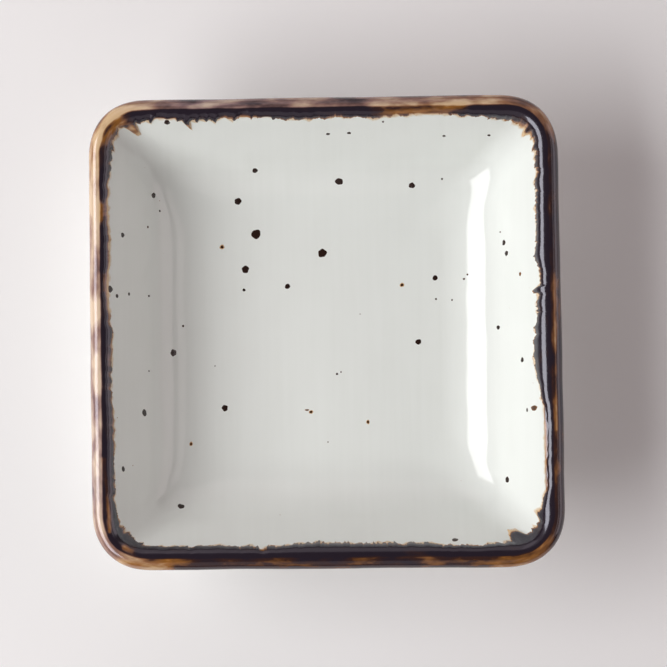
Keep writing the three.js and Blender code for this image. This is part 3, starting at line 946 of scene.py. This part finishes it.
class DISH_OT_white_coats(bpy.types.Operator):
    """Pours the white glaze inside, outside and under the base"""

    bl_idname = "dish.white_coats"
    bl_label = "White glaze"

    BEAD = 1.3 * MM
    BEAD_STEPS = 10
    # Rows along the floor, bend, wall and lip inside, along the lip, wall and bend outside, and on the base
    INSIDE_ROWS = (22, 34, 18, 20)
    OUTSIDE_ROWS = (12, 14, 30)
    BASE_ROWS = (20,)
    # A distance from the brown coat, in mm, at which nothing is stained
    UNSTAINED = 1000.0

    @staticmethod
    def stretches(rows, *marks):
        """Ways from mark to mark, with a count of rows for each stretch."""
        parts = [np.linspace(*stretch)[1:] for stretch in zip(marks, marks[1:], rows)]
        return np.concatenate([marks[:1], *parts])

    @staticmethod
    def coat(section, ring, ways, faces, seat):
        """Rows over and under a coat."""
        flat = ring.points(*(values[:, None] for values in section.at(ways, faces)))
        over = ring.points(*section.at(ways[:, None], faces[:, None] + glaze_wave(flat)))
        under = ring.points(*(values[:, None] for values in section.at(ways, seat)))
        return over, under

    def beaded(self, section, ways, foot_way, gap):
        """Heights of a coat that runs out in a rounded bead at the foot."""
        share = np.clip(np.abs(ways - foot_way) / self.BEAD, 0, 1)
        return gap + (section.white_face - gap) * np.sqrt(1 - (1 - share) ** 2)

    def execute(self, context):
        sizes = context.scene.dish_sizes
        section = Section(sizes)
        ring = Ring(*COAT_RING)
        edges = RimEdges(sizes, section, Eye(sizes), ring)
        gap = sizes.coat_gap
        material = white_stoneware_glaze(context.scene.dish_colours)
        looks = (sizes, material, "white_glaze")
        plain = np.full(len(ring.x), self.UNSTAINED)

        floor = (section.floor_middle, section.floor_edge)
        ways = self.stretches(self.INSIDE_ROWS, *floor, section.bend_end, section.wall_top, -gap / 2)
        over, under = self.coat(section, ring, ways, 0 * ways + section.white_face, gap)
        rows = [over[0][:1], *over[1:], *under[:0:-1], under[0][:1]]
        from_rim = (edges.inside[None, :] - ways[:, None]) / MM
        values = [from_rim[0][:1], *from_rim[1:], *([plain] * (len(ways) - 1)), plain[:1]]
        make_piece("glazed_inside", [rows], *looks, ["inside_glaze"], {"from_rim": values})

        foot_way = section.underside_way(sizes.foot_width / 2 + gap)
        wall = (section.lip_end, section.outer_bend)
        ways = self.stretches(self.OUTSIDE_ROWS, gap / 2, *wall, foot_way - self.BEAD)
        bead = self.BEAD * np.linspace(0, 1, self.BEAD_STEPS) ** 2
        ways = np.concatenate([ways, foot_way - bead[-2::-1]])
        over, under = self.coat(section, ring, ways, self.beaded(section, ways, foot_way, gap), gap / 2)
        from_rim = (ways[:, None] - edges.outside[None, :]) / MM
        values = [*from_rim, *([plain] * len(ways))]
        make_piece("glazed_outside", [[*over, *under[::-1]]], *looks, ["outside_glaze"], {"from_rim": values})

        foot_way = section.underside_way(sizes.foot_width / 2 - sizes.foot_thickness - gap)
        island = self.stretches(self.BASE_ROWS, foot_way + self.BEAD, section.base_middle)
        ways = np.concatenate([foot_way + bead[:-1], island])
        over, under = self.coat(section, ring, ways, self.beaded(section, ways, foot_way, gap), gap / 2)
        rows = [under[-1][:1], *under[-2::-1], *over[:-1], over[-1][:1]]
        values = [plain[: len(row)] for row in rows]
        make_piece("glazed_base", [rows], *looks, ["base_glaze"], {"from_rim": values})
        return {"FINISHED"}


class DISH_OT_rim_coat(bpy.types.Operator):
    """Brushes the brown glaze over the lip and lets it run"""

    bl_idname = "dish.rim_coat"
    bl_label = "Brown rim"

    INSIDE_ROWS = 20
    LIP_ROWS = 14
    OUTSIDE_ROWS = 12
    UNDER_STEP = 5
    # Powers that bring the rows closer together at the two running edges
    INSIDE_CLOSENESS = 1.3
    OUTSIDE_CLOSENESS = 0.8
    SINK = 0.03 * MM
    FILM = 0.04 * MM
    FILM_REACH = 0.2 * MM
    SWELL = 2.2 * MM
    BITE = 0.12 * MM
    EDGE_THINNING = 0.68
    OUTSIDE_FADE = 0.5 * MM
    SHOULDER_START = -0.35 * MM
    SHOULDER_REACH = 0.35 * MM
    SHOULDER_END = 3.0 * MM
    SHOULDER_THINNING = 0.3
    NOTED_THINNING_AND_SHADE = 0.65
    FLOW_ALONG = 7 * MM
    FLOW_ACROSS = 1.8 * MM

    @staticmethod
    def rounded(share):
        """Rises from 0 to 1 in a round shoulder."""
        return 1 - (1 - np.clip(share, 0, 1)) ** 2

    def execute(self, context):
        sizes = context.scene.dish_sizes
        section = Section(sizes)
        eye = Eye(sizes)
        ring = Ring(*FINE_RING)
        edges = RimEdges(sizes, section, eye, ring)
        inside = np.linspace(0, 1, self.INSIDE_ROWS, endpoint=False)[:, None] ** self.INSIDE_CLOSENESS
        lip = np.linspace(0, section.lip_end, self.LIP_ROWS, endpoint=False)[:, None]
        outside = np.linspace(0, 1, self.OUTSIDE_ROWS)[:, None] ** self.OUTSIDE_CLOSENESS
        ways = np.concatenate([
            edges.inside * (1 - inside),
            lip + 0 * edges.inside,
            section.lip_end + (edges.outside - section.lip_end) * outside,
        ])
        to_edge = np.minimum(ways - edges.inside, edges.outside - ways)
        film = self.rounded(to_edge / self.FILM_REACH) * (self.SINK + self.FILM)
        to_plain = np.minimum(ways - edges.plain_inside, edges.outside - ways)
        swell = self.rounded(to_plain / self.SWELL) * (section.rim_face - section.white_face - self.FILM)
        stand = section.white_face - self.SINK + film + swell
        flat = ring.points(*section.at(ways, section.white_face))
        over = ring.points(*section.at(ways, stand + glaze_wave(flat)))
        under = ring.points(*section.at(ways, section.white_face - self.BITE))
        shoulder = np.clip((ways - self.SHOULDER_START) / self.SHOULDER_REACH, 0, 1)
        shoulder *= np.clip((edges.outside - ways) / self.SHOULDER_END, 0, 1)
        # The noted thinness paints the outer shoulder paler on the lit left and top, and darker, as painted
        # shade, on the right
        pooling = 1 - shoulder * (self.SHOULDER_THINNING + self.NOTED_THINNING_AND_SHADE * edges.thin)
        fade = np.where(ways < 0, edges.fade, self.OUTSIDE_FADE)
        thinned = np.exp(-((to_edge / fade) ** 2))
        pooling -= self.EDGE_THINNING * thinned
        warm = np.maximum(np.where(ways < 0, thinned, 0), edges.warm)
        for from_x, from_y, to_x, to_y, reach, thin in AMBER_STREAKS:
            start = eye.ground(from_x, from_y, sizes.height)
            streak = eye.ground(to_x, to_y, sizes.height) - start
            off = flat[..., :2] - start
            share = np.clip(off @ streak / (streak @ streak), 0, 1)
            away = np.linalg.norm(off - share[..., None] * streak, axis=-1)
            amount = np.exp(-((away / (reach / PIXELS_PER_MM * MM)) ** 2))
            pooling -= thin * amount
            warm = np.maximum(warm, amount)
        turn = FULL_TURN * edges.run / edges.total
        reach = edges.total / FULL_TURN / self.FLOW_ALONG
        flow = (reach * np.cos(turn), reach * np.sin(turn), ways / self.FLOW_ACROSS)
        flow = np.stack(np.broadcast_arrays(*flow), axis=-1)
        below = slice(None, None, -self.UNDER_STEP)
        rows = [*over, *under[below]]
        values = {"pooling": pooling, "warm": warm, "flow": flow}
        values = {name: [*value, *value[below]] for name, value in values.items()}
        material = iron_brown_glaze(context.scene.dish_colours)
        make_piece("iron_rim", [rows], sizes, material, "iron_glaze", ["rim_glaze"], values)
        return {"FINISHED"}


class DISH_OT_iron_spots(bpy.types.Operator):
    """Melts the iron spots and the small grains into the white glaze"""

    bl_idname = "dish.iron_spots"
    bl_label = "Iron spots"

    SIDES = 28
    SHARES = (0.0, 0.3, 0.55, 0.75, 0.9, 1.0)
    DOME = 0.09 * MM
    FULL_DOME = 3 * MM
    LEAST_DOME = 0.6
    SINK = 0.02 * MM
    ROOT = 0.15 * MM
    ROOT_SHARE = 0.8
    WOBBLE = (0.02, 0.07)
    WOBBLE_COUNTS = (2, 3, 5)
    EDGE_PALENESS = 0.4
    EDGE_SHARPNESS = 5
    STAIN_FALL = 0.35
    SEED = 5

    def tone_at(self, share, tone, stain):
        """Tone of a grain from its middle, at 0, to its edge, at 1."""
        if stain == 1:
            return tone + self.EDGE_PALENESS * share**self.EDGE_SHARPNESS
        past = max(share * stain - 1, 0) / (stain - 1)
        return tone + (1 - tone) * past**self.STAIN_FALL

    def drop(self, well, place, across, along, stain, tone, random):
        """Rows of a low drop that follows the glaze, and the tone at each of its points."""
        x, y = place
        side, ahead, facing = well.frame_at(x, y)
        turn = np.linspace(0, FULL_TURN, self.SIDES, endpoint=False)
        outline = np.ones(self.SIDES)
        for count in self.WOBBLE_COUNTS:
            depth = random.uniform(*self.WOBBLE)
            outline += depth * np.sin(count * turn + random.uniform(0, FULL_TURN))
        rows, tones = [], []
        height = self.DOME * np.clip((across + along) / self.FULL_DOME, self.LEAST_DOME, 1)
        shapes = [(share, height * (1 - share**2) - self.SINK) for share in self.SHARES]
        shapes += [(self.ROOT_SHARE, -self.ROOT), (0.0, -self.ROOT)]
        for share, stand in shapes:
            angle = turn if share else turn[:1]
            reach = share * (outline if share else outline[:1]) / 2
            local_x = reach * across * stain * np.cos(angle)
            local_y = reach * along * stain * np.sin(angle)
            plan = np.array([x, y]) + local_x[:, None] * side[:2] + local_y[:, None] * ahead[:2]
            seat = np.column_stack([plan, well.height(plan[:, 0], plan[:, 1])])
            lift = stand + glaze_wave(seat)
            rows.append(seat + lift[:, None] * facing)
            tones.append(np.full(len(angle), self.tone_at(share, tone, stain)))
        return rows[::-1], tones[::-1]

    def execute(self, context):
        sizes = context.scene.dish_sizes
        well = Well(Section(sizes))
        eye = Eye(sizes)
        random = np.random.default_rng(self.SEED)
        material = iron_spot_glaze(context.scene.dish_colours)
        spots = sorted(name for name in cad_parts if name.startswith("iron_spot_"))
        for name in spots:
            low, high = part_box(name)
            middle = (low + high) / 2
            width = max(high - low)
            place = before_pull(middle[:2], sizes.width / 2)
            rows, tones = self.drop(well, place, width, width, 1, 0.0, random)
            piece = name.replace("iron_spot", "iron_drop")
            make_piece(piece, [rows], sizes, material, "iron_spot", [name], {"tone": tones})
        bodies, all_tones = [], []
        for *pixel, across, along, stain, tone in GRAINS:
            place = well.under_pixel(eye, *pixel)
            side, ahead, _ = well.frame_at(*place)
            stretch_x = across / PIXELS_PER_MM * MM / abs(side @ eye.right)
            stretch_y = along / PIXELS_PER_MM * MM / abs(ahead @ eye.up)
            rows, tones = self.drop(well, place, stretch_x, stretch_y, stain, tone, random)
            bodies.append(rows)
            all_tones.extend(tones)
        make_piece("iron_grains", bodies, sizes, material, "iron_spot", (), {"tone": all_tones})
        return {"FINISHED"}


class DISH_OT_stage(bpy.types.Operator):
    """Sets the table, the window light, the room light and the camera"""

    bl_idname = "dish.stage"
    bl_label = "Stage"

    TABLE_SIDE = 4.0
    ROOM_STRENGTH = 0.11
    LAMP_DISTANCE = 0.8
    MAIN_LAMP = "window"
    # Name, turn from +X and rise above the table in degrees, width and height in metres, and watts
    LAMPS = (
        ("window", 193, 39, 0.9, 0.45, 6.6),
        ("front_reflector", 250, 35, 0.9, 0.6, 0.6),
        ("back_reflector", 88, 30, 1.0, 0.5, 0.85),
        ("left_reflector", 130, 40, 0.8, 0.5, 0.4),
        ("side_reflector", 5, 18, 0.8, 0.4, 1.3),
        ("side_strip", 2, 46, 0.7, 0.16, 0.3),
    )

    def execute(self, context):
        scene = context.scene
        colours = scene.dish_colours
        sizes = scene.dish_sizes
        half = self.TABLE_SIDE / 2
        mesh = bpy.data.meshes.new("table")
        corners = [(-half, -half, 0), (half, -half, 0), (half, half, 0), (-half, half, 0)]
        mesh.from_pydata(corners, [], [(0, 1, 2, 3)])
        mesh.materials.append(matt_painted_board(colours))
        table = add_object("table", mesh)

        for name, turn, rise, width, height, watts in self.LAMPS:
            lamp = bpy.data.lights.new(name, "AREA")
            lamp.shape = "RECTANGLE"
            lamp.size, lamp.size_y = width, height
            lamp.energy = watts
            if name != self.MAIN_LAMP:
                lamp.color = tuple(colours.fill)[:3]
            stand = add_object(name, lamp)
            turn, rise = math.radians(turn), math.radians(rise)
            level = self.LAMP_DISTANCE * math.cos(rise)
            drop = self.LAMP_DISTANCE * math.sin(rise)
            stand.location = (level * math.cos(turn), level * math.sin(turn), drop)
            stand.rotation_mode = "QUATERNION"
            stand.rotation_quaternion = (-stand.location).to_track_quat("-Z", "Y")
            stand.visible_camera = False

        world = bpy.data.worlds.new("room")
        world.use_nodes = True
        background = world.node_tree.nodes["Background"]
        background.inputs["Color"].default_value = tuple(colours.fill)
        background.inputs["Strength"].default_value = self.ROOM_STRENGTH
        scene.world = world
        scene.view_settings.view_transform = "Standard"

        eye = Eye(sizes)
        camera = bpy.data.cameras.new("camera")
        camera.sensor_width = SENSOR_WIDTH
        view_width = IMAGE_SIDE / PIXELS_PER_MM * MM
        camera.lens = SENSOR_WIDTH * CAMERA_DISTANCE / view_width
        stand = add_object("camera", camera)
        stand.location = eye.place
        stand.rotation_euler = (CAMERA_TILT, 0, CAMERA_ROLL)
        scene.camera = stand
        return {"FINISHED"}


OPERATORS = (
    DISH_OT_clay_body,
    DISH_OT_foot_ring,
    DISH_OT_white_coats,
    DISH_OT_rim_coat,
    DISH_OT_iron_spots,
    DISH_OT_stage,
)


class DISH_PT_panel(bpy.types.Panel):
    """Lists the steps that build the dish"""

    bl_idname = "DISH_PT_panel"
    bl_label = "Square dish"
    bl_space_type = "VIEW_3D"
    bl_region_type = "UI"
    bl_category = "Dish"

    def draw(self, context):
        for operator in OPERATORS:
            self.layout.operator(operator.bl_idname)
        for group in (context.scene.dish_sizes, context.scene.dish_colours):
            box = self.layout.box()
            for name in group.__annotations__:
                box.prop(group, name)


CLASSES = (DishSizes, DishColours, *OPERATORS, DISH_PT_panel)


def register():
    for each in CLASSES:
        bpy.utils.register_class(each)
    bpy.types.Scene.dish_sizes = bpy.props.PointerProperty(type=DishSizes)
    bpy.types.Scene.dish_colours = bpy.props.PointerProperty(type=DishColours)


def unregister():
    del bpy.types.Scene.dish_colours
    del bpy.types.Scene.dish_sizes
    for each in reversed(CLASSES):
        bpy.utils.unregister_class(each)


def main():
    register()
    for operator in OPERATORS:
        group, name = operator.bl_idname.split(".")
        getattr(getattr(bpy.ops, group), name)()


if __name__ == "__main__":
    main()
